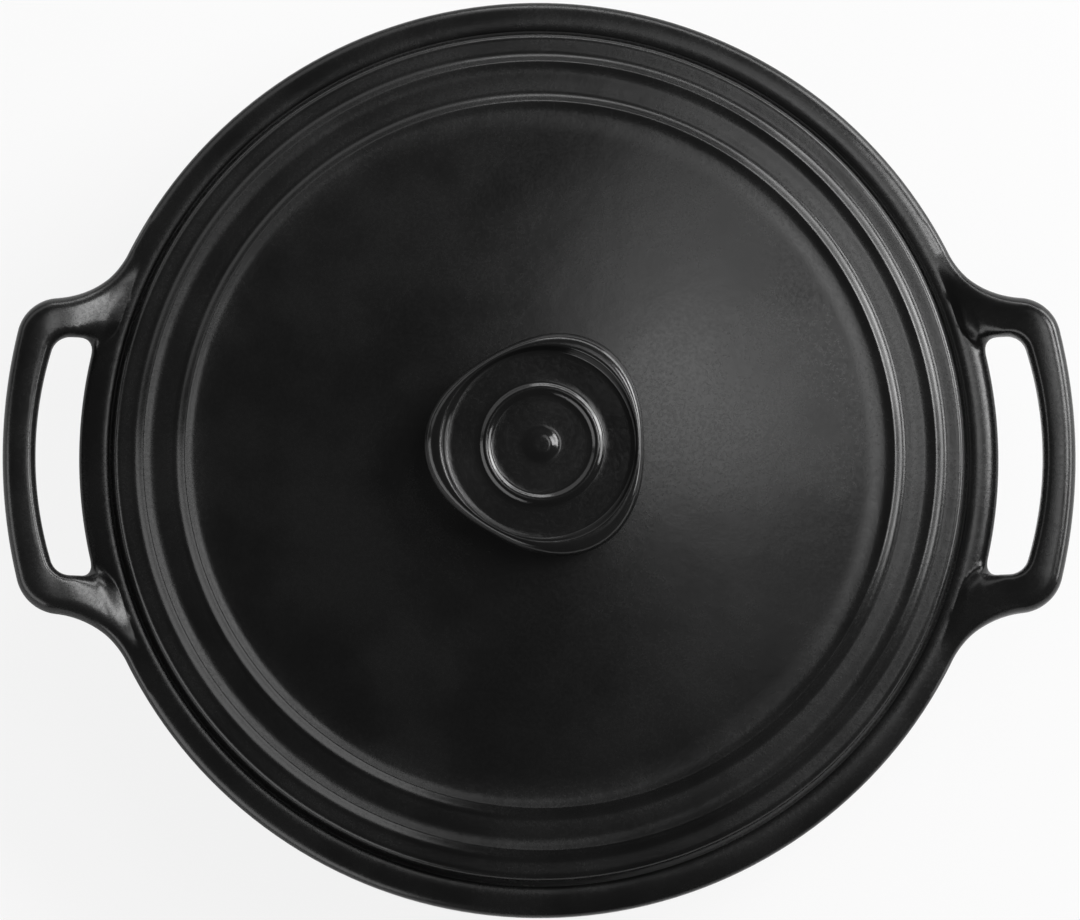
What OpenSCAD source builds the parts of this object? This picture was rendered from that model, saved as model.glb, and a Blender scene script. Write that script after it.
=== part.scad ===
// Round glazed-ceramic sauteuse: a low pan with two loop handles, and its stepped lid with a dished knob.
// Z is up, the foot stands on z = 0, the pan's axis is the Z axis and the handles lie along X.

/* [Pan] */
// Diameter over the rolled rim
rim_d = 300; // [280:1:330]
// Height from the foot to the crest of the rim
pan_h = 75; // [62:1:110]
// Diameter at which the heel curve leaves the table
foot_d = 224; // [200:1:232]
// Radius of the heel, where the base turns up into the wall
heel_r = 24; // [16:1:28]
// Thickness of the wall and the base
wall_t = 7; // [5.5:0.5:8]
// Depth of the shallow hollow inside the foot ring
foot_hollow = 1.5; // [0.8:0.1:2.5]
// Width of the foot ring
foot_ring_w = 12; // [8:1:20]

/* [Rim] */
// Width of the rolled rim, from the lid recess to the outer edge
rim_w = 10.4; // [10:0.1:12]
// Width of the fall from the rim's crest to its outer face, also along the handles' outer edge
edge_round = 7.2; // [6.5:0.1:8.5]
// Height of that fall on the rim
rim_fall = 4.5; // [3.5:0.1:6]
// Height of the rim's outer face
rim_face_h = 3.5; // [2:0.5:5]
// Radius of the round under the rim
rim_under = 6; // [4:0.5:8]
// Depth of the ledge that carries the lid, below the rim's crest
seat_depth = 4; // [3.2:0.1:5]
// Width of that ledge
seat_w = 8.4; // [6.5:0.1:10]

/* [Handles] */
// Distance by which each handle stands out from the rim
handle_out = 24.4; // [23:0.1:32]
// Angle from the handle's middle to the centre of its outer corner
corner_angle = 13.5; // [12.5:0.1:15]
// Radius of the outer corners
corner_r = 14.2; // [12:0.1:16]
// Radius of the hollow curve by which an arm runs into the rim
arm_curve_r = 30; // [24:1:36]
// Thickness of the handle
handle_t = 11; // [9:0.5:12.5]
// Height by which the bar stands above the rim's crest
handle_rise = 10; // [6:0.5:14]
// Width of the bar at its middle
bar_w = 10.6; // [10.6:0.1:14]
// Length of the finger slot
slot_l = 78; // [66:1:80]
// Radius of the slot's outer side
slot_side_r = 119; // [100:1:160]
// Radius of the slot's corners beside the bar
slot_bar_corner_r = 6.5; // [5:0.1:7]
// Radius of the slot's corners beside the rim
slot_rim_corner_r = 4.9; // [4:0.1:5.5]
// Width of the round along the slot's edge, beside the bar and the arms
slot_round = 3; // [2:0.1:3.2]
// Width of that round in the corners beside the rim
slot_rim_round = 6; // [4:0.1:7]

/* [Lid] */
// Clearance all round between the lid and the rim
lid_gap = 1.2; // [0.8:0.1:2.5]
// Thickness of the lid at its edge
lid_edge_t = 10; // [8.5:0.5:12]
// Radius of the lid's upper edge
lid_edge_r = 2.4; // [1.5:0.1:3.5]
// Thickness of the lid's shell
lid_wall_t = 6.5; // [5:0.5:7.5]
// Width of the flat band outside the outer bead
flat_band_w = 5.4; // [4.5:0.1:7]
// Width of the sloping band between the two beads
slope_band_w = 5.7; // [5:0.1:9]
// Rise of that band
slope_band_rise = 0.4; // [0.2:0.1:1]
// Rise of each step, from its foot to the crest of its bead
step_h = 2.4; // [1.5:0.1:3.2]
// Width of each step's rise
step_w = 4.3; // [3.2:0.1:5]
// Depth of the groove inside each bead
groove_d = 0.5; // [0.3:0.1:1]
// Width of each bead's inner side, from its crest to the groove
groove_w = 3.5; // [2.5:0.1:4.5]
// Width of the hollow curve in which the lid's dome meets the inner groove
dome_foot_w = 6.9; // [4:0.1:9]
// Slope of the dome at its foot, in degrees
dome_slope = 10; // [6:0.5:12]
// Slope of the dome at the knob's neck, in degrees
neck_slope = 4; // [2:0.5:5.5]

/* [Knob] */
// Mean diameter of the knob's head
knob_d = 70.8; // [60:0.2:80]
// Height by which the head's three lobes depart from that circle
lobe = 2.3; // [0.5:0.1:3]
// Diameter of the neck that carries the head
neck_d = 34; // [26:1:44]
// Radius of the curve from the lid into the neck
neck_curve_r = 6; // [4:0.5:8]
// Height of the head's underside above the lid's dome
neck_h = 5.5; // [5:0.5:10]
// Height of the head, from its underside to the crest of its rim
head_h = 14.5; // [12:0.5:18]
// Height of the round above the head's widest line
head_round = 4.5; // [3:0.5:6]
// Diameter of the dish in the head, at its floor
dish_d = 60; // [50:0.5:61]
// Depth of the dish
dish_depth = 3; // [2:0.1:4]
// Diameter of the raised ring in the dish
ring_d = 36; // [24:1:44]
// Width of the ring
ring_w = 5; // [3:0.5:6]
// Diameter of the low boss at the ring's middle
boss_d = 13; // [8:1:17]
// Height of the ring and of the boss
relief_h = 1.2; // [0.6:0.1:1.6]

/* [Hidden] */
$fn = 180;
clay = [0.09, 0.09, 0.09];

// Steps along the arcs and curves of a profile
arc_n = 8;
curve_n = 10;

// Pan
rim_r = rim_d / 2;
seat_r = rim_r - rim_w;
seat_z = pan_h - seat_depth;
mouth_r = seat_r - seat_w;
crest_r = rim_r - edge_round;
rim_edge_z = pan_h - rim_fall;
rim_z = rim_edge_z - rim_face_h;
edge_power = 2.6;
foot_r = foot_d / 2;
foot_hollow_r = foot_r - foot_ring_w;
foot_slope_w = 3;
seat_fillet = 0.8;
inner_fall = 1.5;
mouth_round = 2;
neck_under_r = 4;

// Handles, measured on the one along +X
reach = rim_r + handle_out;
bar_crest_r = reach - edge_round;
root_sink = 0.6;
root_r = rim_r - root_sink;
root_end_r = crest_r;
corner_c = (reach - corner_r) * dir(corner_angle);
arm_c = meet(root_r + arm_curve_r, corner_r + arm_curve_r, reach - corner_r, corner_angle);
arm_angle = angle_of(arm_c);
corner_end = angle_of(arm_c - corner_c);
slot_side_c = [reach - bar_w - slot_side_r, 0];
slot_bar_y = slot_l / 2 - slot_bar_corner_r;
slot_bar_a = asin(slot_bar_y / (slot_side_r - slot_bar_corner_r));
slot_bar_c = slot_side_c + (slot_side_r - slot_bar_corner_r) * dir(slot_bar_a);
slot_rim_y = slot_l / 2 - slot_rim_corner_r;
slot_rim_a = asin(slot_rim_y / (root_r + slot_rim_corner_r));
slot_rim_c = (root_r + slot_rim_corner_r) * dir(slot_rim_a);
least_flat = 0.4;
bar_n = 6;
corner_n = 6;
arm_n = 8;
root_n = 4;

// Lid
lid_r = seat_r - lid_gap;
lid_foot_round = 1.5;
lid_band_z = seat_z + lid_edge_t;
step1_r = lid_r - flat_band_w;
groove1_r = step1_r - step_w - groove_w;
groove1_z = lid_band_z + step_h - groove_d;
step2_r = groove1_r - slope_band_w;
step2_z = groove1_z + slope_band_rise;
groove2_r = step2_r - step_w - groove_w;
groove2_z = step2_z + step_h - groove_d;
side_skew = 1.5;
band_n = 6;
neck_r = neck_d / 2;
dome_top_r = neck_r + neck_curve_r;
dome_foot_r = groove2_r - dome_foot_w;
dome_foot_z = groove2_z + tan(dome_slope) * dome_foot_w / 2;
dome_w = dome_foot_r - dome_top_r;
dome_top_z = dome_foot_z + (tan(dome_slope) + tan(neck_slope)) * dome_w / 2;
hollow_gap = 1;
hollow_r = mouth_r - hollow_gap;
hollow_edge_z = groove1_z - lid_wall_t;
hollow_mid_z = dome_top_z - lid_wall_t;

// Knob
head_r = knob_d / 2;
head_z = dome_top_z + neck_h;
head_top_z = head_z + head_h;
head_wide_z = head_top_z - head_round;
dish_r = dish_d / 2;
dish_z = head_top_z - dish_depth;
dish_wall_w = 1.8;
dish_lobe = 0.4;
head_sink = 2;
head_n = 96;

function dir(a) = [cos(a), sin(a)];
function angle_of(p) = atan2(p[1], p[0]);
function ratio(v, low, high) = max(0, min(1, (v - low) / (high - low)));
function arc(c, r, a0, a1, n = arc_n) = [for (i = [0 : n]) c + r * dir(a0 + (a1 - a0) * i / n)];
function tail(list) = [for (i = [1 : len(list) - 1]) list[i]];

// Point at distance d0 from the axis and d1 from a point that lies at distance d2 and angle a
function meet(d0, d1, d2, a) = d0 * dir(a + acos((d0 * d0 + d2 * d2 - d1 * d1) / (2 * d0 * d2)));

// Angle, seen from an arc's centre, at which a line to the outside point p touches the arc
function touch(c, r, p) = angle_of(p - c) - acos(r / norm(p - c));

// Smooth rise or fall from z0 to z1, over the radii r0 to r1
function ease(r0, z0, r1, z1, n = curve_n) =
    [for (i = [0 : n]) [r0 + (r1 - r0) * i / n, z0 + (z1 - z0) * (1 - cos(180 * i / n)) / 2]];

// Quarter of a round that is flatter on top and tighter at the side than a circle
function full(v) = sign(v) * pow(abs(v), 2 / edge_power);
function fall(c, w, h, a0, a1, n) =
    [for (i = [0 : n]) let (a = a0 + (a1 - a0) * i / n) c + [w * full(cos(a)), h * full(sin(a))]];

// Section of the pan

function heel_c() = [foot_r, heel_r];
function under_p() = [seat_r, rim_z - rim_under - neck_under_r];
function mouth_p() = [mouth_r, seat_z - mouth_round];

function pan_outside() = concat(
    arc(heel_c(), heel_r, -90, touch(heel_c(), heel_r, under_p())),
    arc(under_p() + [neck_under_r, 0], neck_under_r, 180, 90, 4),
    arc([rim_r - rim_under, rim_z], rim_under, -90, 0),
    fall([crest_r, rim_edge_z], edge_round, rim_fall, 0, 90, 12));

function pan_inside() = concat(
    tail(fall([crest_r, pan_h - inner_fall], crest_r - seat_r, inner_fall, 90, 180, 8)),
    arc([seat_r - seat_fillet, seat_z + seat_fillet], seat_fillet, 0, -90, 3),
    arc([mouth_r + mouth_round, seat_z - mouth_round], mouth_round, 90, 180, 4),
    arc(heel_c(), heel_r - wall_t, touch(heel_c(), heel_r - wall_t, mouth_p()), -90));

module pan_section() {
    polygon(concat(
        [[0, foot_hollow], [foot_hollow_r - foot_slope_w, foot_hollow], [foot_hollow_r, 0]],
        pan_outside(),
        pan_inside(),
        [[0, wall_t]]));
}

// Handle: one loop around the finger slot, lofted from a closed section at each station

// 1 over the handle, falling to 0 where its root has run into the rim
function loft(a) = cos(90 * ratio(a, corner_angle, arm_angle));

// Height of the web, which climbs from the rim's crest to the bar
function web_z(p) =
    pan_h - root_sink / 2 + (handle_rise + root_sink / 2) * loft(abs(angle_of(p)))
    * sin(90 * min(1, (norm(p) - crest_r) / (bar_crest_r - crest_r)));
function level(p, rim_level, drop) = rim_level + (web_z(p) - drop - rim_level) * loft(abs(angle_of(p)));
function edge_z(p) = level(p, rim_edge_z, handle_t / 2);
function low_z(p) = level(p, rim_z - rim_under / 2, handle_t);

// Share of the drop from the top to the edge, at distance s inside an edge of width w
function rounding(s, w) = s >= w ? 0 : 1 - pow(1 - pow(1 - max(s, 0) / w, edge_power), 1 / edge_power);

// Distance from a point in plan to the handle's outline
function outline_gap(p) =
    angle_of(p) >= arm_angle ? root_r - norm(p)
    : angle_of(p) <= corner_angle ? reach - norm(p)
    : cross(corner_c - arm_c, p - arm_c) > 0 ? corner_r - norm(p - corner_c)
    : norm(p - arm_c) - arm_curve_r;

// Distance from a point in plan to the slot
function slot_gap(p) =
    angle_of(p - slot_side_c) <= slot_bar_a ? norm(p - slot_side_c) - slot_side_r
    : p[0] >= slot_bar_c[0] ? norm(p - slot_bar_c) - slot_bar_corner_r
    : p[0] >= slot_rim_c[0] ? p[1] - slot_l / 2
    : min(norm(p - slot_rim_c) - slot_rim_corner_r, norm(p) * sin(angle_of(p) - slot_rim_a));

// Width of the round along the slot's edge, which narrows from the rim towards the bar
function slot_width(p) =
    slot_rim_round + (slot_round - slot_rim_round) * ratio(norm(p), root_r, norm(slot_bar_c));

function shaped(p, z) =
    z + (edge_z(p) - z) * max(rounding(outline_gap(p), edge_round), rounding(slot_gap(p), slot_width(p)));

// Paths in plan, from the middle of the bar round the upper arm to its root in the rim
function root_path(a) = [for (i = [1 : root_n]) (root_r + (root_end_r - root_r) * i / root_n) * dir(a)];
outline_path = concat(
    arc([0, 0], reach, 0, corner_angle, bar_n),
    tail(arc(corner_c, corner_r, corner_angle, corner_end, corner_n)),
    tail(arc(arm_c, arm_curve_r, corner_end + 180, arm_angle + 180, arm_n)),
    root_path(arm_angle));
slot_path = concat(
    arc(slot_side_c, slot_side_r, 0, slot_bar_a, bar_n),
    tail(arc(slot_bar_c, slot_bar_corner_r, slot_bar_a, 90, corner_n)),
    arc(slot_rim_c, slot_rim_corner_r, 90, slot_rim_a + 180, arm_n - 1),
    root_path(slot_rim_a));

// Shares of the way from the outline to the slot at which a section has its points,
// where u and v are the shares that the rounds along the two edges take
function shares(u, v) = concat(
    [for (i = [0 : 4]) u * (1 - cos(22.5 * i))],
    [for (i = [1 : 3]) u + (1 - v - u) * i / 4],
    [for (i = [3 : -1 : 0]) 1 - v * (1 - cos(30 * i))]);

function section(a, b) =
    let (w = max(norm(b - a), edge_round + slot_width(b) + least_flat),
        t = shares(edge_round / w, slot_width(b) / w),
        pts = [for (k = t) a + (b - a) * k])
    concat(
        [for (p = pts) [p[0], p[1], shaped(p, web_z(p))]],
        [for (i = [len(pts) - 2 : -1 : 1]) [pts[i][0], pts[i][1], shaped(pts[i], low_z(pts[i]))]]);

half_loop = [for (i = [0 : len(outline_path) - 1]) section(outline_path[i], slot_path[i])];
function flip(ring) = [for (p = ring) [p[0], -p[1], p[2]]];
loop_rings = concat(
    [for (i = [len(half_loop) - 1 : -1 : 1]) half_loop[i]],
    [for (ring = half_loop) flip(ring)]);

// Skin of a tube through rings of points, closed at both ends
module skin(rings) {
    n = len(rings[0]);
    m = len(rings);
    sides = [for (j = [0 : m - 2], i = [0 : n - 1], half = [0, 1])
        let (a = j * n + i, b = j * n + (i + 1) % n)
        half == 0 ? [a, b + n, b] : [a, a + n, b + n]];
    polyhedron(
        points = [for (ring = rings, p = ring) p],
        faces = concat([[for (i = [0 : n - 1]) i]], sides, [[for (i = [n - 1 : -1 : 0]) (m - 1) * n + i]]));
}

module handle() {
    skin(loop_rings);
}

module pan() {
    color(clay)
    union() {
        rotate_extrude() pan_section();
        handle();
        rotate([0, 0, 180]) handle();
    }
}

// Section of the lid

// Point on the side of a bead, level at both ends p and q and steepest near p
function side(p, q, t) =
    [p[0] + (q[0] - p[0]) * pow(t, side_skew), p[1] + (q[1] - p[1]) * (1 - cos(180 * t)) / 2];

// Bead with its outer rise and its inner groove, seen from the outside inwards
function bead(r, z) =
    let (crest = [r - step_w, z + step_h], groove = crest - [groove_w, groove_d])
    concat(
        [for (i = [curve_n : -1 : 0]) side(crest, [r, z], i / curve_n)],
        [for (i = [1 : curve_n]) side(crest, groove, i / curve_n)]);

function slope_band() =
    [for (i = [1 : band_n - 1]) side([groove1_r, groove1_z], [step2_r, step2_z], i / band_n)];

// Dome: a hollow curve that leaves the groove level, then a swell that flattens towards the neck
function dome() = concat(
    [for (i = [1 : band_n])
        let (t = i / band_n)
        [groove2_r - dome_foot_w * t, groove2_z + (dome_foot_z - groove2_z) * t * t]],
    [for (i = [1 : curve_n - 1])
        let (t = i / curve_n)
        [dome_foot_r - dome_w * t,
         dome_foot_z + dome_w * t * (tan(dome_slope) * (1 - t / 2) + tan(neck_slope) * t / 2)]],
    arc([dome_top_r, dome_top_z + neck_curve_r], neck_curve_r, -90 - neck_slope, -180));

function lid_top() = concat(
    arc([lid_r - lid_foot_round, seat_z + lid_foot_round], lid_foot_round, -90, 0, 3),
    arc([lid_r - lid_edge_r, lid_band_z - lid_edge_r], lid_edge_r, 0, 90),
    bead(step1_r, lid_band_z),
    slope_band(),
    bead(step2_r, step2_z),
    dome());

// Outside, and inside a foot on the ledge and a hollow that follows the top
module lid_section() {
    polygon(concat(
        lid_top(),
        [[neck_r, head_z + head_sink], [0, head_z + head_sink], [0, hollow_mid_z], [neck_r, hollow_mid_z]],
        [[step2_r, step2_z - lid_wall_t]],
        ease(groove1_r, hollow_edge_z, hollow_r, seat_z, 6)));
}

// Knob: a three-lobed head whose lobes fade out towards the neck and the round dish

function lobed(r, z, w) =
    [for (i = [0 : head_n - 1])
        let (a = 360 * i / head_n, k = r + w * lobe * cos(3 * (a - 60)))
        [k * cos(a), k * sin(a), z]];

// Each profile entry is a radius, a height and the share of the lobes that it takes
head_bottom_r = neck_r - head_sink;
function head_under() =
    [for (a = [0 : 15 : 90])
        [head_bottom_r + (head_r - head_bottom_r) * sin(a),
         head_wide_z - (head_wide_z - head_z) * cos(a),
         pow(sin(a), 2)]];
function head_over() =
    [for (a = [18 : 18 : 90])
        [dish_r + dish_wall_w + (head_r - dish_r - dish_wall_w) * cos(a),
         head_wide_z + head_round * sin(a),
         dish_lobe + (1 - dish_lobe) * cos(a)]];
function head_dish() =
    [for (i = [1 : 6])
        [dish_r + dish_wall_w * (1 - i / 6),
         dish_z + dish_depth * (1 + cos(30 * i)) / 2,
         dish_lobe * (1 - i / 6)]];

module knob_head() {
    skin([for (e = concat(head_under(), head_over(), head_dish())) lobed(e[0], e[1], e[2])]);
}

// Plain raised ring and boss in the dish, each rooted in the clay below its floor
module dish_relief() {
    out_r = (ring_d + ring_w) / 2;
    in_r = (ring_d - ring_w) / 2;
    boss_r = boss_d / 2;
    top_z = dish_z + relief_h;
    root_z = dish_z - relief_h;
    rotate_extrude() {
        polygon(concat(
            [[out_r, root_z]],
            ease(out_r, dish_z, ring_d / 2, top_z, 5),
            tail(ease(ring_d / 2, top_z, in_r, dish_z, 5)),
            [[in_r, root_z]]));
        polygon(concat(
            [[0, root_z], [boss_r, root_z]],
            ease(boss_r, dish_z, boss_r / 3, top_z, 5),
            [[0, top_z]]));
    }
}

module lid() {
    color(clay)
    union() {
        rotate_extrude() lid_section();
        knob_head();
        dish_relief();
    }
}

pan();
lid();
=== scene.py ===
"""The look of a round glazed-ceramic sauteuse and its stepped lid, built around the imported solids."""

import math

import bpy
import numpy as np
from mathutils import Matrix, Vector


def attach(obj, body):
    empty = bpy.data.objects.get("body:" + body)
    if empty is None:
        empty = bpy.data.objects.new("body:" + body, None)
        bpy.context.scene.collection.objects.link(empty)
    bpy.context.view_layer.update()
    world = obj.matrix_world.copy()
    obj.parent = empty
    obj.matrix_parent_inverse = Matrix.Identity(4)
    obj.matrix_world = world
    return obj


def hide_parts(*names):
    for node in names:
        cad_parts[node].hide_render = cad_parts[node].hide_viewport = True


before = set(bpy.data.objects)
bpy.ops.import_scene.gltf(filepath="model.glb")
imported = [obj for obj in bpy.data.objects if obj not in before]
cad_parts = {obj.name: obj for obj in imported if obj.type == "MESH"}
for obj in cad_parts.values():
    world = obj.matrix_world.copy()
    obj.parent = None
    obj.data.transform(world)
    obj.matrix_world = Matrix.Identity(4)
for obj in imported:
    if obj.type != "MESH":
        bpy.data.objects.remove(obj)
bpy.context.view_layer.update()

MM = 0.001

# Pan, in millimetres
RIM_R = 150.0
PAN_H = 75.0
RIM_FACE_Z = 67.0
RIM_UNDER = 6.0
NECK_UNDER = 4.0
RIM_UNDER_Z = RIM_FACE_Z - RIM_UNDER
SEAT_R = 139.6
SEAT_Z = 71.0
SEAT_FILLET = 0.8
MOUTH_R = 131.2
MOUTH_ROUND = 2.0
FOOT_R = 112.0
HEEL_R = 24.0
WALL_T = 7.0
FOOT_HOLLOW = 1.5
FOOT_HOLLOW_R = 100.0
FOOT_SLOPE_W = 3.0
FOOT_ROUND = 1.5

# Falls from the rim's crest, as arcs from level to upright: radius and slope at the lower end
OUTER_FALL = ((15.0, 17), (6.0, 40), (2.6, 90))
INNER_FALL = ((9.0, 12), (3.0, 35), (0.8, 90))
INNER_EDGE = 0.8

# Handles, measured on the quarter with positive x and y
REACH = 174.4
CORNER_ANGLE = 13.5
CORNER_R = 14.2
ARM_CURVE_R = 30.0
ROOT_R = 149.4
ROOT_SINK = 0.3
HANDLE_T = 11.0
HANDLE_RISE = 10.0
HANDLE_ROUND = 5.4
EDGE_POWER = 2.6
WEB_START_R = 142.8
BAR_W = 10.6
SLOT_L = 78.0
SLOT_SIDE_R = 119.0
SLOT_BAR_R = 6.5
SLOT_END_R = 134.0
SLOT_RIM_R = 4.9
SLOT_ROUND = 3.0
SLOT_RIM_ROUND = 6.0
BLEND = 6.0
BLEND_START_R = 143.0
BLEND_FULL_R = 149.0
SECTOR = 31.0

# Lid, in millimetres
LID_R = 138.4
LID_FOOT_ROUND = 1.5
LID_EDGE_R = 2.4
BAND_Z = 81.0
STEP1_R = 133.0
STEP_W = 4.3
STEP_H = 2.4
GROOVE_W = 3.5
GROOVE_D = 0.5
SIDE_SKEW = 1.5
BAND_W = 5.7
BAND_RISE = 0.4
DOME_FOOT_W = 6.9
DOME_SLOPE = math.tan(math.radians(10))
NECK_SLOPE = math.tan(math.radians(4))
NECK_R = 17.0
NECK_CURVE_R = 6.0
LID_WALL_T = 6.5
HOLLOW_GAP = 1.0

# Knob
NECK_H = 5.5
HEAD_H = 14.5
HEAD_R = 35.4
HEAD_ROUND = 4.5
HEAD_SINK = 2.0
LOBE = 2.3
LOBE_ANGLE = 60.0
DISH_R = 30.0
DISH_DEPTH = 3.0
DISH_WALL_W = 1.8
DISH_LOBE = 0.4
RING_R = 18.0
RING_W = 5.0
BOSS_R = 6.5
RELIEF_H = 1.2

# Glaze: lightness, roughness, and noise in lumps per metre
DARK_COAT = (0.0055, 0.0055, 0.0055, 1)
LIGHT_COAT = (0.011, 0.011, 0.011, 1)
# Painted light: a pale tone that lifts the shade in the gap between the lid's edge and its seat
PAINTED_GAP_LIGHT = (0.14, 0.14, 0.14, 1)
SATIN = 0.25
GLOSSY = 0.15
CLOUD_SCALE = 28
GRAIN_SCALE = 900
SPECK_SCALE = 2600
CLOUD_ROUGHNESS = 0.02
GRAIN_ROUGHNESS = 0.03
WAVE_DEPTH = 0.3
GRAIN_DEPTH = 0.2

# Studio, in metres, degrees and radiance
FLOOR_HALF = 6.0
FLOOR_Z = -0.0001
FLOOR_TONE = (0.85, 0.85, 0.85, 1)
FLOOR_GLOW = 0.85
ROOM_LIGHT = 0.06
LAMP_DISTANCE = 1.6
LAMP_AIM_Z = 0.08

# Name, azimuth (0 is towards +X, 90 towards +Y), angle from the zenith, width, height, radiance
SOFTBOXES = (
    ("overhead", 33, 17.5, 0.42, 0.38, 3.2),
    ("overhead_back", 62, 26, 0.38, 0.55, 1.25),
    ("overhead_front", 350, 19, 0.5, 0.35, 0.4),
    ("right_high", 24, 43, 0.8, 0.34, 12.0),
    ("right_wide", 56, 71, 2.7, 0.22, 5.25),
    ("right_low", 34, 77, 1.3, 0.55, 4.3),
    ("right_front", 11, 74, 1.3, 0.41, 6.9),
    ("left_back", 122, 69, 2.6, 0.69, 0.91),
    ("left_front", 212, 71, 2.6, 0.75, 2.3),
)

# Camera: its frame in pixels, the scale at the rim, its lean to the left and the front, and its roll
FRAME_W = 1080
MM_PER_PX = 0.3268
LEAN_LEFT = 1.0
LEAN_FRONT = 5.8
ROLL = 0.14
CAMERA_AWAY = 2400.0
AIM = (0.3, -0.42, RIM_FACE_Z)
SENSOR_W = 36


def polar(radius, degrees):
    a = math.radians(degrees)
    return np.array([radius * math.cos(a), radius * math.sin(a)])


def angle_of(p):
    return math.degrees(math.atan2(p[1], p[0]))


def ratio(v, low, high):
    return np.clip((v - low) / (high - low), 0.0, 1.0)


def smooth(t):
    return t * t * (3.0 - 2.0 * t)


# Closed outlines made of straight stretches and arcs that run smoothly into each other


def line(p, q):
    return ("line", np.asarray(p, float), np.asarray(q, float))


def arc(centre, radius, start, sweep):
    """An arc in degrees; a positive sweep turns to the left and has the solid inside it."""
    return ("arc", np.asarray(centre, float), radius, start, sweep)


def rounded(corners):
    """Stretches of a polygon given as (x, y, radius), with each corner rounded by its radius."""
    pts = [np.array(c[:2], float) for c in corners]
    n = len(pts)
    starts, ends, arcs = [], [], []
    for i, (x, y, radius) in enumerate(corners):
        before = pts[i - 1] - pts[i]
        after = pts[(i + 1) % n] - pts[i]
        before /= np.linalg.norm(before)
        after /= np.linalg.norm(after)
        half = math.acos(np.clip(before @ after, -1, 1)) / 2
        cut = radius / math.tan(half)
        starts.append(pts[i] + before * cut)
        ends.append(pts[i] + after * cut)
        if radius > 0:
            middle = (before + after) / np.linalg.norm(before + after)
            centre = pts[i] + middle * radius / math.sin(half)
            a0 = angle_of(starts[-1] - centre)
            sweep = (angle_of(ends[-1] - centre) - a0 + 180) % 360 - 180
            arcs.append(arc(centre, radius, a0, sweep))
        else:
            arcs.append(None)
    out = []
    for i in range(n):
        if arcs[i]:
            out.append(arcs[i])
        if np.linalg.norm(starts[(i + 1) % n] - ends[i]) > 1e-6:
            out.append(line(ends[i], starts[(i + 1) % n]))
    return out


def outline_distance(outline, x, y):
    """Distance to an outline that runs to the left around its solid, negative inside it."""
    best = np.full(x.shape, 1e9)
    for part in outline:
        if part[0] == "line":
            p, q = part[1], part[2]
            along = q - p
            length = np.linalg.norm(along)
            ux, uy = along / length
            t = (x - p[0]) * ux + (y - p[1]) * uy
            side = (x - p[0]) * uy - (y - p[1]) * ux
            d = np.where((t >= -1e-6) & (t <= length + 1e-6), side, 1e9)
        else:
            centre, radius, start, sweep = part[1:]
            gap = np.hypot(x - centre[0], y - centre[1]) - radius
            turn = np.degrees(np.arctan2(y - centre[1], x - centre[0])) - start
            turn = turn % 360 if sweep > 0 else (-turn) % 360
            within = (turn <= abs(sweep) + 1e-6) | (turn >= 360 - 1e-6)
            d = np.where(within, math.copysign(1, sweep) * gap, 1e9)
        best = np.where(np.abs(d) < np.abs(best), d, best)
    return best


# Section of the pan


def tangent_corner(centre, radius, outside, level):
    """Where the line from an outside point that touches an arc on its lower right meets a level."""
    to_point = np.asarray(outside, float) - centre
    angle = angle_of(to_point) - math.degrees(math.acos(radius / np.linalg.norm(to_point)))
    touch = centre + polar(radius, angle)
    slope = (outside[0] - touch[0]) / (outside[1] - touch[1])
    return touch[0] + slope * (level - touch[1])


def fall(edge_r, top_z, way, arcs):
    """Corners, from the top down, of arcs that turn from level to upright and end at edge_r."""
    r, z, slope = 0.0, 0.0, 0.0
    corners = []
    for radius, end in arcs:
        cut = radius * math.tan(math.radians(end - slope) / 2)
        before = polar(cut, -slope)
        after = polar(cut, -end)
        corners.append((r + before[0], z + before[1], radius))
        r += before[0] + after[0]
        z += before[1] + after[1]
        slope = end
    return [(edge_r + way * (x - r), top_z + y, radius) for x, y, radius in corners]


def pan_section():
    heel = np.array([FOOT_R, HEEL_R])
    outer = (SEAT_R, RIM_UNDER_Z - NECK_UNDER)
    inner = (MOUTH_R, SEAT_Z - MOUTH_ROUND)
    outer_r = tangent_corner(heel, HEEL_R, outer, 0)
    inner_r = tangent_corner(heel, HEEL_R - WALL_T, inner, WALL_T)
    wall = (outer[0] - outer_r) / outer[1]
    return rounded([
        (0, FOOT_HOLLOW, 0),
        (FOOT_HOLLOW_R - FOOT_SLOPE_W, FOOT_HOLLOW, FOOT_ROUND),
        (FOOT_HOLLOW_R, 0, FOOT_ROUND),
        (outer_r, 0, HEEL_R),
        (outer_r + wall * RIM_UNDER_Z, RIM_UNDER_Z, NECK_UNDER),
        (RIM_R, RIM_UNDER_Z, RIM_UNDER),
        *reversed(fall(RIM_R, PAN_H, 1, OUTER_FALL)),
        *fall(SEAT_R, PAN_H, -1, INNER_FALL),
        (SEAT_R, SEAT_Z, SEAT_FILLET),
        (MOUTH_R, SEAT_Z, MOUTH_ROUND),
        (inner_r, WALL_T, HEEL_R - WALL_T),
        (0, WALL_T, 0),
    ])


# Plan of a handle and of its finger slot, on the quarter with positive x and y


def circles_meet(d0, d1, d2, degrees):
    """Point at distance d0 from the axis and d1 from a point at distance d2 and that angle."""
    turn = math.degrees(math.acos((d0 * d0 + d2 * d2 - d1 * d1) / (2 * d0 * d2)))
    return polar(d0, degrees + turn)


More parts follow.
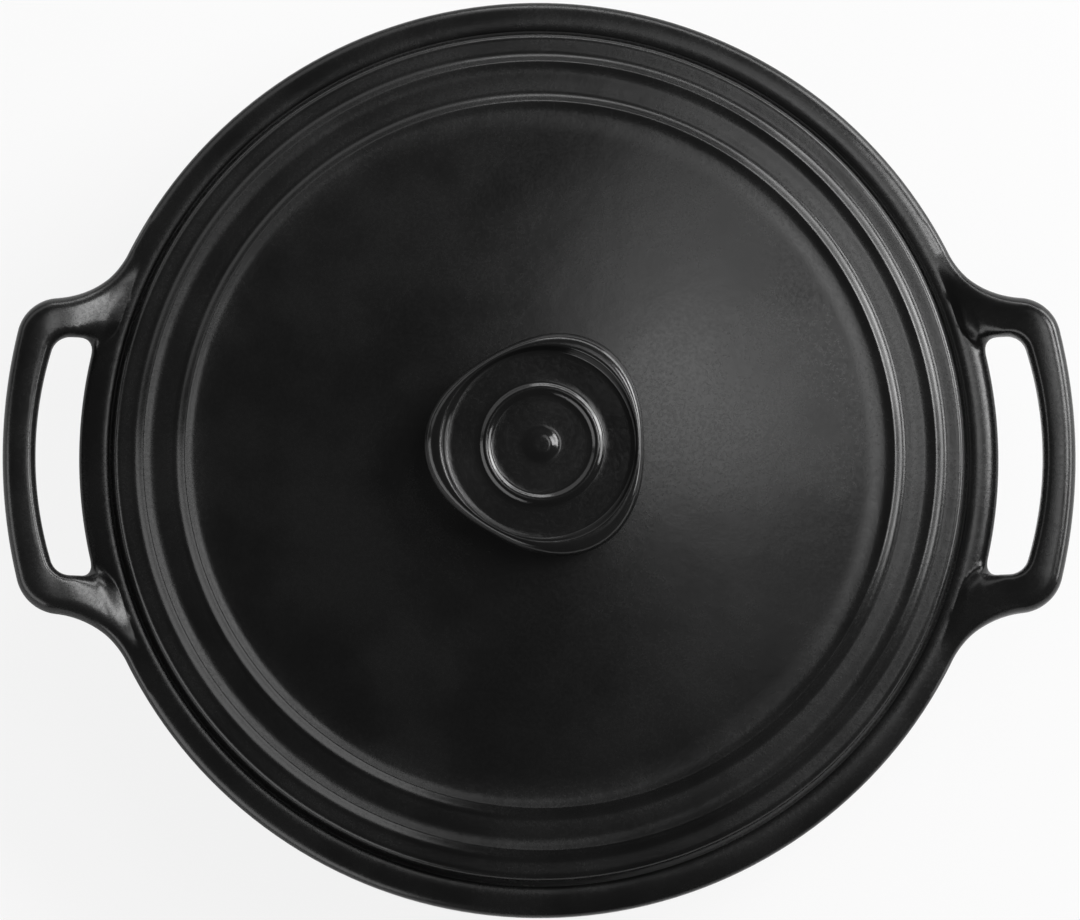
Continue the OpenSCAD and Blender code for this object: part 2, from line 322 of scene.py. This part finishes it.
CORNER_C = polar(REACH - CORNER_R, CORNER_ANGLE)
ARM_C = circles_meet(ROOT_R + ARM_CURVE_R, CORNER_R + ARM_CURVE_R, REACH - CORNER_R, CORNER_ANGLE)
ARM_ANGLE = angle_of(ARM_C)
CORNER_END = angle_of(ARM_C - CORNER_C)
SLOT_C = np.array([REACH - BAR_W - SLOT_SIDE_R, 0])
SLOT_BAR_A = math.degrees(math.asin((SLOT_L / 2 - SLOT_BAR_R) / (SLOT_SIDE_R - SLOT_BAR_R)))
SLOT_BAR_C = SLOT_C + polar(SLOT_SIDE_R - SLOT_BAR_R, SLOT_BAR_A)
SLOT_END_A = math.degrees(math.asin((SLOT_L / 2 - SLOT_RIM_R) / (SLOT_END_R + SLOT_RIM_R)))
SLOT_END_C = polar(SLOT_END_R + SLOT_RIM_R, SLOT_END_A)

HANDLE_PLAN = [
    arc((0, 0), REACH, -CORNER_ANGLE, 2 * CORNER_ANGLE),
    arc(CORNER_C, CORNER_R, CORNER_ANGLE, CORNER_END - CORNER_ANGLE),
    arc(ARM_C, ARM_CURVE_R, CORNER_END + 180, ARM_ANGLE - CORNER_END),
    arc((0, 0), ROOT_R, ARM_ANGLE, 180),
]

# The slot, run on inwards below the rim, whose own section closes it there
SLOT_PLAN = [
    arc(SLOT_C, SLOT_SIDE_R, -SLOT_BAR_A, 2 * SLOT_BAR_A),
    arc(SLOT_BAR_C, SLOT_BAR_R, SLOT_BAR_A, 90 - SLOT_BAR_A),
    line((SLOT_BAR_C[0], SLOT_L / 2), (SLOT_END_C[0], SLOT_L / 2)),
    arc(SLOT_END_C, SLOT_RIM_R, 90, 90 + SLOT_END_A),
    arc((0, 0), SLOT_END_R, SLOT_END_A, -2 * SLOT_END_A),
]


def loft(angle):
    """1 over a handle, falling to 0 where its root has run into the rim."""
    return np.cos(np.radians(90 * ratio(angle, CORNER_ANGLE, ARM_ANGLE)))


RIM_EDGE_Z = fall(RIM_R, PAN_H, 1, OUTER_FALL)[-1][1]


def handle_shape(x, y, z):
    """Zero on the handle's surface, negative in its clay; not a true distance."""
    r = np.hypot(x, y)
    share = loft(np.degrees(np.arctan2(y, x)))
    climb = np.sin(np.radians(90 * ratio(r, WEB_START_R, REACH - HANDLE_ROUND)))
    top = PAN_H - ROOT_SINK + (HANDLE_RISE + ROOT_SINK) * share * climb
    rim_under = RIM_FACE_Z - RIM_UNDER / 2
    edge = RIM_EDGE_Z + (top - HANDLE_T / 2 - RIM_EDGE_Z) * share
    low = rim_under + (top - HANDLE_T - rim_under) * share
    outer_gap = -outline_distance(HANDLE_PLAN, x, y)
    slot_gap = outline_distance(SLOT_PLAN, x, y)
    slot_w = SLOT_RIM_ROUND + (SLOT_ROUND - SLOT_RIM_ROUND) * ratio(r, ROOT_R, np.linalg.norm(SLOT_BAR_C))
    outer_w = HANDLE_ROUND + (RIM_R - WEB_START_R - HANDLE_ROUND) * (1 - share)
    u = np.maximum(np.maximum(1 - outer_gap / outer_w, 1 - slot_gap / slot_w), 0)
    v = np.abs(z - edge) / np.where(z > edge, top - edge, edge - low)
    return (u ** EDGE_POWER + v ** EDGE_POWER) ** (1 / EDGE_POWER) - 1


def gradient(shape, x, y, z, step):
    gx = shape(x + step, y, z) - shape(x - step, y, z)
    gy = shape(x, y + step, z) - shape(x, y - step, z)
    gz = shape(x, y, z + step) - shape(x, y, z - step)
    return np.stack([gx, gy, gz], -1) / (2 * step)


def round_intersection(a, b, radius):
    """Distance to what two solids share, with the edge between them rounded."""
    both = np.hypot(np.maximum(a + radius, 0), np.maximum(b + radius, 0))
    return np.minimum(np.maximum(a, b), -radius) + both


def smooth_union(a, b, width):
    near = np.maximum(width - np.abs(a - b), 0)
    return np.minimum(a, b) - near * near / (4 * np.maximum(width, 1e-6))


PAN_SECTION = pan_section()


def handle_distance(x, y, z):
    """Distance to a handle, which ends inwards at the wall of the lid's recess."""
    slope = np.linalg.norm(gradient(handle_shape, x, y, z, 0.05), axis=-1)
    d = handle_shape(x, y, z) / np.maximum(slope, 0.02)
    return round_intersection(d, SEAT_R - np.hypot(x, y), INNER_EDGE)


def pan_distance(x, y, z):
    """Distance to the pan: its turned section, with a handle blended in on either side."""
    r = np.hypot(x, y)
    d = outline_distance(PAN_SECTION, r, z)
    x = np.abs(x)
    y = np.abs(y)
    angle = np.degrees(np.arctan2(y, x))
    near = (angle < SECTOR) & (r > SEAT_R - 4) & (z > 50)
    if near.any():
        width = BLEND * loft(angle[near]) * smooth(ratio(r[near], BLEND_START_R, BLEND_FULL_R))
        d[near] = smooth_union(d[near], handle_distance(x[near], y[near], z[near]), width)
    return d


# Surface of a solid given by its distance, on a grid in cylindrical coordinates


def spaced(*stops):
    """Grid lines through the stops, which are given as value, step, value, step, ... value."""
    out = [stops[0]]
    for low, step, high in zip(stops[0::2], stops[1::2], stops[2::2]):
        n = max(1, round((high - low) / step))
        out += [low + (high - low) * i / n for i in range(1, n + 1)]
    return np.array(out)


def net_surface(distance, angles, radii, heights):
    """One point for each cell that the surface crosses, and one quad for each edge that it cuts."""
    turn, r, z = np.meshgrid(np.radians(angles), radii, heights, indexing="ij")
    grid = np.stack([r * np.cos(turn), r * np.sin(turn), z], -1)
    field = distance(grid[..., 0].ravel(), grid[..., 1].ravel(), z.ravel()).reshape(r.shape)
    na, nr, nz = field.shape
    inside = field < 0
    total = np.zeros((na * nr * nz, 3))
    count = np.zeros(na * nr * nz)
    quads = []
    for axis in range(3):
        ahead = np.roll(field, -1, axis)
        crossed = inside != np.roll(inside, -1, axis)
        if axis > 0:
            last = [slice(None)] * 3
            last[axis] = -1
            crossed[tuple(last)] = False
        cell = np.argwhere(crossed)
        here = tuple(cell.T)
        share = (field[here] / (field[here] - ahead[here]))[:, None]
        point = grid[here] + share * (np.roll(grid, -1, axis)[here] - grid[here])
        b, c = [(axis + 1) % 3, (axis + 2) % 3]
        corners = []
        for db, dc in ((0, 0), (-1, 0), (-1, -1), (0, -1)):
            around = cell.copy()
            around[:, b] += db
            around[:, c] += dc
            around[:, 0] %= na
            flat = (around[:, 0] * nr + around[:, 1]) * nz + around[:, 2]
            np.add.at(total, flat, point)
            np.add.at(count, flat, 1)
            corners.append(np.where((around[:, 1] >= 0) & (around[:, 2] >= 0), flat, -1))
        quad = np.stack(corners, 1)
        inwards = inside[here]
        quad[inwards] = quad[inwards][:, ::-1]
        quads.append(quad[(quad >= 0).all(1)])
    quads = np.concatenate(quads)
    used = np.unique(quads)
    index = np.full(na * nr * nz, -1)
    index[used] = np.arange(len(used))
    points = total[used] / count[used][:, None]
    first = used[(used // nz) % nr == 0]
    return points, index[quads], index[first]


def settle(distance, points, steps):
    """Moves points onto the surface and gives the surface's direction at each."""
    for _ in range(steps):
        g = gradient(distance, *points.T, 0.02)
        g /= np.maximum((g * g).sum(1), 0.1)[:, None]
        points = points - np.clip(distance(*points.T), -1, 1)[:, None] * g
    g = gradient(distance, *points.T, 0.02)
    return points, g / np.linalg.norm(g, axis=1)[:, None]


def make_piece(name, points, faces, normals, node, material):
    mesh = bpy.data.meshes.new(name)
    mesh.from_pydata((points * MM).tolist(), [], faces)
    mesh.update()
    mesh.shade_smooth()
    if normals is not None:
        mesh.normals_split_custom_set_from_vertices(normals.tolist())
    piece = bpy.data.objects.new(name, mesh)
    bpy.context.scene.collection.objects.link(piece)
    mesh.materials.append(material)
    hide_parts(node)
    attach(piece, "root")
    return piece


def pan_mesh():
    fine, coarse = 0.4, 1.8
    stops = (-SECTOR, fine, SECTOR, coarse, 180 - SECTOR, fine, 180 + SECTOR, coarse, 360 - SECTOR)
    angles = spaced(*stops)[:-1]
    radii = spaced(8, 22, FOOT_HOLLOW_R - 6, 2, FOOT_R, 3, MOUTH_R - 2, 0.93, REACH + 2.7)
    heights = spaced(-3, 1.5, 12, 3, 54, 0.93, PAN_H + 13)
    points, quads, first = net_surface(pan_distance, angles, radii, heights)
    points, normals = settle(pan_distance, points, 4)
    faces = quads.tolist()
    for upper in (True, False):
        ring = [i for i in first if (points[i, 2] > WALL_T / 2) == upper]
        ring.sort(key=lambda i: math.atan2(points[i, 1], points[i, 0]))
        middle = len(points)
        points = np.vstack([points, [0, 0, points[ring[0], 2]]])
        normals = np.vstack([normals, [0, 0, 1 if upper else -1]])
        for a, b in zip(ring, ring[1:] + ring[:1]):
            faces.append([middle, a, b] if upper else [middle, b, a])
    return points, faces, normals


# Lid, as a profile of (radius, height, share of the knob's lobes) turned about the axis


def ease(r0, z0, r1, z1, n):
    """Curve that is level at both ends."""
    return [(r0 + (r1 - r0) * i / n,
             z0 + (z1 - z0) * (1 - math.cos(math.pi * i / n)) / 2) for i in range(n + 1)]


def swing(centre, radius, a0, a1, n):
    return [(centre[0] + radius * math.cos(math.radians(a0 + (a1 - a0) * i / n)),
             centre[1] + radius * math.sin(math.radians(a0 + (a1 - a0) * i / n))) for i in range(n + 1)]


def side(p, q, n):
    """Curve that is level at both ends and steepest near p."""
    return [(p[0] + (q[0] - p[0]) * (i / n) ** SIDE_SKEW,
             p[1] + (q[1] - p[1]) * (1 - math.cos(math.pi * i / n)) / 2) for i in range(n + 1)]


def straight(p, q, n):
    return [(p[0] + (q[0] - p[0]) * i / n, p[1] + (q[1] - p[1]) * i / n) for i in range(n + 1)]


def joined(*stretches):
    out = []
    for stretch in stretches:
        for p in stretch:
            if not out or math.dist(p[:2], out[-1][:2]) > 1e-4:
                out.append(p)
    return out


GROOVE1_R = STEP1_R - STEP_W - GROOVE_W
GROOVE1_Z = BAND_Z + STEP_H - GROOVE_D
STEP2_R = GROOVE1_R - BAND_W
STEP2_Z = GROOVE1_Z + BAND_RISE
GROOVE2_R = STEP2_R - STEP_W - GROOVE_W
GROOVE2_Z = STEP2_Z + STEP_H - GROOVE_D
DOME_TOP_R = NECK_R + NECK_CURVE_R
DOME_FOOT_R = GROOVE2_R - DOME_FOOT_W
DOME_W = DOME_FOOT_R - DOME_TOP_R
DOME_FOOT_Z = GROOVE2_Z + DOME_SLOPE * DOME_FOOT_W / 2
DOME_TOP_Z = DOME_FOOT_Z + (DOME_SLOPE + NECK_SLOPE) * DOME_W / 2
HEAD_Z = DOME_TOP_Z + NECK_H
HEAD_TOP_Z = HEAD_Z + HEAD_H
HEAD_WIDE_Z = HEAD_TOP_Z - HEAD_ROUND
DISH_Z = HEAD_TOP_Z - DISH_DEPTH


def knob_profile():
    """From the middle of the dish over the head's rim and under it to the neck."""
    half = RING_W / 2
    floor = joined(
        straight((0, DISH_Z + RELIEF_H), (BOSS_R / 3, DISH_Z + RELIEF_H), 3),
        ease(BOSS_R / 3, DISH_Z + RELIEF_H, BOSS_R, DISH_Z, 10),
        straight((BOSS_R, DISH_Z), (RING_R - half, DISH_Z), 6),
        ease(RING_R - half, DISH_Z, RING_R, DISH_Z + RELIEF_H, 8),
        ease(RING_R, DISH_Z + RELIEF_H, RING_R + half, DISH_Z, 8),
        straight((RING_R + half, DISH_Z), (DISH_R, DISH_Z), 6))
    out = [(r, z, 0) for r, z in floor]
    for r, z in ease(DISH_R, DISH_Z, DISH_R + DISH_WALL_W, HEAD_TOP_Z, 12)[1:]:
        out.append((r, z, DISH_LOBE * (r - DISH_R) / DISH_WALL_W))
    shoulder = DISH_R + DISH_WALL_W
    for i in range(1, 17):
        a = math.radians(90 * (1 - i / 16))
        out.append((shoulder + (HEAD_R - shoulder) * math.cos(a),
                    HEAD_WIDE_Z + HEAD_ROUND * math.sin(a),
                    DISH_LOBE + (1 - DISH_LOBE) * math.cos(a)))
    bottom_r = NECK_R - HEAD_SINK
    for i in range(1, 25):
        a = math.radians(90 * (1 - i / 24))
        r = bottom_r + (HEAD_R - bottom_r) * math.sin(a)
        z = HEAD_WIDE_Z - (HEAD_WIDE_Z - HEAD_Z) * math.cos(a)
        if r < NECK_R + 1:
            break
        out.append((r, z, math.sin(a) ** 2))
    return out


def dome_z(r):
    """Height of the lid's dome and, outside its foot, of the hollow curve down to the groove."""
    t = (DOME_FOOT_R - r) / DOME_W
    if t < 0:
        return GROOVE2_Z + (DOME_FOOT_Z - GROOVE2_Z) * ((GROOVE2_R - r) / DOME_FOOT_W) ** 2
    return DOME_FOOT_Z + DOME_W * t * (DOME_SLOPE * (1 - t / 2) + NECK_SLOPE * t / 2)


def lid_profile():
    """From the neck down over the dome and the two steps, round the edge and back underneath."""
    neck_c = (DOME_TOP_R, DOME_TOP_Z + NECK_CURVE_R)
    groove2 = (GROOVE2_R, GROOVE2_Z)
    crest2 = (GROOVE2_R + GROOVE_W, GROOVE2_Z + GROOVE_D)
    groove1 = (GROOVE1_R, GROOVE1_Z)
    crest1 = (GROOVE1_R + GROOVE_W, GROOVE1_Z + GROOVE_D)
    foot_c = (LID_R - LID_FOOT_ROUND, SEAT_Z + LID_FOOT_ROUND)
    edge_c = (LID_R - LID_EDGE_R, BAND_Z - LID_EDGE_R)
    hollow_r = MOUTH_R - HOLLOW_GAP
    under_z = GROOVE1_Z - LID_WALL_T
    middle_z = DOME_TOP_Z - LID_WALL_T
    plain = joined(
        swing(neck_c, NECK_CURVE_R, 180, 270 - math.degrees(math.atan(NECK_SLOPE)), 16),
        [(DOME_TOP_R + DOME_W * i / 28, dome_z(DOME_TOP_R + DOME_W * i / 28)) for i in range(1, 29)],
        [(DOME_FOOT_R + DOME_FOOT_W * i / 8, dome_z(DOME_FOOT_R + DOME_FOOT_W * i / 8)) for i in range(1, 9)],
        reversed(side(crest2, groove2, 12)),
        side(crest2, (STEP2_R, STEP2_Z), 16),
        reversed(side(groove1, (STEP2_R, STEP2_Z), 10)),
        reversed(side(crest1, groove1, 12)),
        side(crest1, (STEP1_R, BAND_Z), 16),
        straight((STEP1_R, BAND_Z), (edge_c[0], BAND_Z), 4),
        swing(edge_c, LID_EDGE_R, 90, 0, 12),
        straight((LID_R, edge_c[1]), (LID_R, foot_c[1]), 4),
        swing(foot_c, LID_FOOT_ROUND, 0, -90, 6),
        straight((foot_c[0], SEAT_Z), (hollow_r, SEAT_Z), 4),
        ease(hollow_r, SEAT_Z, GROOVE1_R, under_z, 8),
        straight((GROOVE1_R, under_z), (STEP2_R, STEP2_Z - LID_WALL_T), 3),
        straight((STEP2_R, STEP2_Z - LID_WALL_T), (NECK_R, middle_z), 12),
        straight((NECK_R, middle_z), (0, middle_z), 3))
    return [(r, z, 0) for r, z in plain]


def lid_mesh():
    profile = np.array(joined(knob_profile(), lid_profile()))
    segments = 360
    turn = np.radians(np.arange(segments) * 360 / segments)
    lobes = LOBE * np.cos(3 * (turn - math.radians(LOBE_ANGLE)))
    body = profile[1:-1]
    r = body[:, None, 0] + body[:, None, 2] * lobes[None, :]
    z = np.repeat(body[:, 1:2], segments, axis=1)
    points = np.stack([r * np.cos(turn), r * np.sin(turn), z], -1).reshape(-1, 3)
    points = np.vstack([points, [0, 0, profile[0, 1]], [0, 0, profile[-1, 1]]])
    top, bottom = len(points) - 2, len(points) - 1
    rings = len(body)
    faces = []
    for i in range(segments):
        j = (i + 1) % segments
        faces.append([top, i, j])
        for k in range(rings - 1):
            faces.append([k * segments + i, (k + 1) * segments + i, (k + 1) * segments + j, k * segments + j])
        faces.append([bottom, (rings - 1) * segments + j, (rings - 1) * segments + i])
    return points, faces


# Glaze


def glaze(name, knob_roughness, inner_edge, outer_edge):
    """Near-black satin glaze with a fine grain and soft clouds, and painted light between two radii at the
    seat that lifts the shade in the gap.
    """
    material = bpy.data.materials.new(name)
    material.use_nodes = True
    nodes = material.node_tree.nodes
    links = material.node_tree.links
    shader = nodes["Principled BSDF"]
    where = nodes.new("ShaderNodeTexCoord").outputs["Object"]

    def noise(scale, detail):
        node = nodes.new("ShaderNodeTexNoise")
        node.inputs["Scale"].default_value = scale
        node.inputs["Detail"].default_value = detail
        links.new(where, node.inputs["Vector"])
        return node.outputs["Fac"]

    def ramp(source, low, high, out_low, out_high):
        node = nodes.new("ShaderNodeMapRange")
        node.interpolation_type = "SMOOTHSTEP"
        node.inputs["From Min"].default_value = low
        node.inputs["From Max"].default_value = high
        node.inputs["To Min"].default_value = out_low
        node.inputs["To Max"].default_value = out_high
        links.new(source, node.inputs["Value"])
        return node.outputs["Result"]

    def math_node(kind, a, b):
        node = nodes.new("ShaderNodeMath")
        node.operation = kind
        for socket, v in zip(node.inputs, (a, b)):
            if isinstance(v, (int, float)):
                socket.default_value = v
            else:
                links.new(v, socket)
        return node.outputs[0]

    def blend(low, high, share):
        node = nodes.new("ShaderNodeMix")
        node.data_type = "RGBA"
        for name, v in (("A", low), ("B", high)):
            if isinstance(v, tuple):
                node.inputs[name].default_value = v
            else:
                links.new(v, node.inputs[name])
        links.new(share, node.inputs["Factor"])
        return node.outputs["Result"]

    def bumps(source, depth, strength):
        node = nodes.new("ShaderNodeBump")
        node.inputs["Strength"].default_value = strength
        node.inputs["Distance"].default_value = depth * MM
        links.new(source, node.inputs["Height"])
        return node

    clouds = noise(CLOUD_SCALE, 4)
    grain = noise(GRAIN_SCALE, 3)
    specks = noise(SPECK_SCALE, 1)
    coat = blend(DARK_COAT, LIGHT_COAT, ramp(clouds, 0.3, 0.7, 0, 1))

    # Painted light: a pale tone where the lid's edge and its seat in the rim face each other, lifting the
    # shade in the narrow gap between them
    split = nodes.new("ShaderNodeSeparateXYZ")
    links.new(where, split.inputs[0])
    height = split.outputs["Z"]
    squares = [math_node("POWER", split.outputs[axis], 2) for axis in ("X", "Y")]
    radius = math_node("POWER", math_node("ADD", *squares), 0.5)
    outside = ramp(radius, *(MM * r for r in inner_edge), 0, 1)
    inside = ramp(radius, *(MM * r for r in outer_edge), 1, 0)
    above = ramp(height, (SEAT_Z - 1) * MM, SEAT_Z * MM, 0, 1)
    below = ramp(height, (PAN_H - 1.5) * MM, PAN_H * MM, 1, 0)
    seat = math_node("MULTIPLY", math_node("MULTIPLY", outside, inside), math_node("MULTIPLY", above, below))
    links.new(blend(coat, PAINTED_GAP_LIGHT, seat), shader.inputs["Base Color"])

    roughness = math_node(
        "ADD",
        ramp(clouds, 0.3, 0.7, -CLOUD_ROUGHNESS, CLOUD_ROUGHNESS),
        ramp(grain, 0.3, 0.7, -GRAIN_ROUGHNESS, GRAIN_ROUGHNESS))
    base = SATIN
    if knob_roughness is not None:
        base = ramp(height, (HEAD_Z - 5) * MM, (HEAD_Z + 2) * MM, SATIN, knob_roughness)
    links.new(math_node("ADD", roughness, base), shader.inputs["Roughness"])

    waves = bumps(clouds, WAVE_DEPTH, 1.0)
    relief = math_node("ADD", math_node("MULTIPLY", grain, 0.7), math_node("MULTIPLY", specks, 0.3))
    fine = bumps(relief, GRAIN_DEPTH, 0.12)
    links.new(waves.outputs["Normal"], fine.inputs["Normal"])
    links.new(fine.outputs["Normal"], shader.inputs["Normal"])
    shader.inputs["IOR"].default_value = 1.5
    return material


# Floor, light and camera


def add_floor():
    mesh = bpy.data.meshes.new("floor")
    corners = [(x * FLOOR_HALF, y * FLOOR_HALF, FLOOR_Z) for x, y in ((-1, -1), (1, -1), (1, 1), (-1, 1))]
    mesh.from_pydata(corners, [], [(0, 1, 2, 3)])
    floor = bpy.data.objects.new("floor", mesh)
    bpy.context.scene.collection.objects.link(floor)
    material = bpy.data.materials.new("pale_floor")
    material.use_nodes = True
    nodes = material.node_tree.nodes
    links = material.node_tree.links
    nodes["Principled BSDF"].inputs["Base Color"].default_value = FLOOR_TONE
    nodes["Principled BSDF"].inputs["Roughness"].default_value = 0.9
    nodes["Principled BSDF"].inputs["Specular IOR Level"].default_value = 0.0
    glow = nodes.new("ShaderNodeEmission")
    glow.inputs["Strength"].default_value = 1.0
    path = nodes.new("ShaderNodeLightPath")
    share = nodes.new("ShaderNodeMath")
    share.operation = "MULTIPLY"
    share.inputs[1].default_value = FLOOR_GLOW
    links.new(path.outputs["Is Camera Ray"], share.inputs[0])
    mix = nodes.new("ShaderNodeMixShader")
    links.new(share.outputs[0], mix.inputs["Fac"])
    links.new(nodes["Principled BSDF"].outputs[0], mix.inputs[1])
    links.new(glow.outputs[0], mix.inputs[2])
    links.new(mix.outputs[0], nodes["Material Output"].inputs["Surface"])
    mesh.materials.append(material)


def add_softbox(name, azimuth, from_zenith, width, height, radiance):
    """A softbox that faces the lid."""
    lamp = bpy.data.lights.new(name, "AREA")
    lamp.shape = "RECTANGLE"
    lamp.size = width
    lamp.size_y = height
    lamp.energy = radiance * math.pi * width * height
    thing = bpy.data.objects.new(name, lamp)
    a = math.radians(azimuth)
    t = math.radians(from_zenith)
    aim = Vector((0, 0, LAMP_AIM_Z))
    way = Vector((math.sin(t) * math.cos(a), math.sin(t) * math.sin(a), math.cos(t)))
    thing.location = aim + LAMP_DISTANCE * way
    thing.rotation_euler = (aim - thing.location).to_track_quat("-Z", "Y").to_euler()
    bpy.context.scene.collection.objects.link(thing)


def add_world():
    world = bpy.data.worlds.new("studio")
    bpy.context.scene.world = world
    world.use_nodes = True
    nodes = world.node_tree.nodes
    links = world.node_tree.links
    room = nodes["Background"]
    room.inputs["Color"].default_value = (1, 1, 1, 1)
    room.inputs["Strength"].default_value = ROOM_LIGHT
    white = nodes.new("ShaderNodeBackground")
    white.inputs["Strength"].default_value = 1.0
    path = nodes.new("ShaderNodeLightPath")
    mix = nodes.new("ShaderNodeMixShader")
    links.new(path.outputs["Is Camera Ray"], mix.inputs["Fac"])
    links.new(room.outputs[0], mix.inputs[1])
    links.new(white.outputs[0], mix.inputs[2])
    links.new(mix.outputs[0], nodes["World Output"].inputs["Surface"])


def add_camera():
    """Almost straight down, a little from the front and the left, with a long lens."""
    lean = Vector((-math.sin(math.radians(LEAN_LEFT)), -math.sin(math.radians(LEAN_FRONT)), 0))
    roll = math.radians(ROLL)
    camera = bpy.data.cameras.new("camera")
    camera.sensor_width = SENSOR_W
    camera.lens = SENSOR_W * CAMERA_AWAY / (MM_PER_PX * FRAME_W)
    camera.clip_end = 20
    thing = bpy.data.objects.new("camera", camera)
    back = lean + Vector((0, 0, math.sqrt(1 - lean.length_squared)))
    right = Vector((math.sin(roll), math.cos(roll), 0)).cross(back).normalized()
    thing.location = (Vector(AIM) + CAMERA_AWAY * back) * MM
    thing.rotation_euler = Matrix((right, back.cross(right), back)).transposed().to_euler()
    bpy.context.scene.collection.objects.link(thing)
    bpy.context.scene.camera = thing


add_camera()
add_floor()
add_world()
for softbox in SOFTBOXES:
    add_softbox(*softbox)

# Each piece gets painted light on its own side of the gap between the lid's edge and the seat
pan_glaze = glaze("pan_ceramic", None, (MOUTH_R - 1, MOUTH_R), (SEAT_R + 0.2, SEAT_R + 0.6))
points, faces, normals = pan_mesh()
make_piece("pan_glazed", points, faces, normals, "pan", pan_glaze)

lid_glaze = glaze("lid_ceramic", GLOSSY, (LID_R - 0.8, LID_R - 0.2), (LID_R + 1, LID_R + 2))
points, faces = lid_mesh()
make_piece("lid_glazed", points, faces, None, "lid", lid_glaze)

bpy.context.scene.view_settings.view_transform = "Standard"
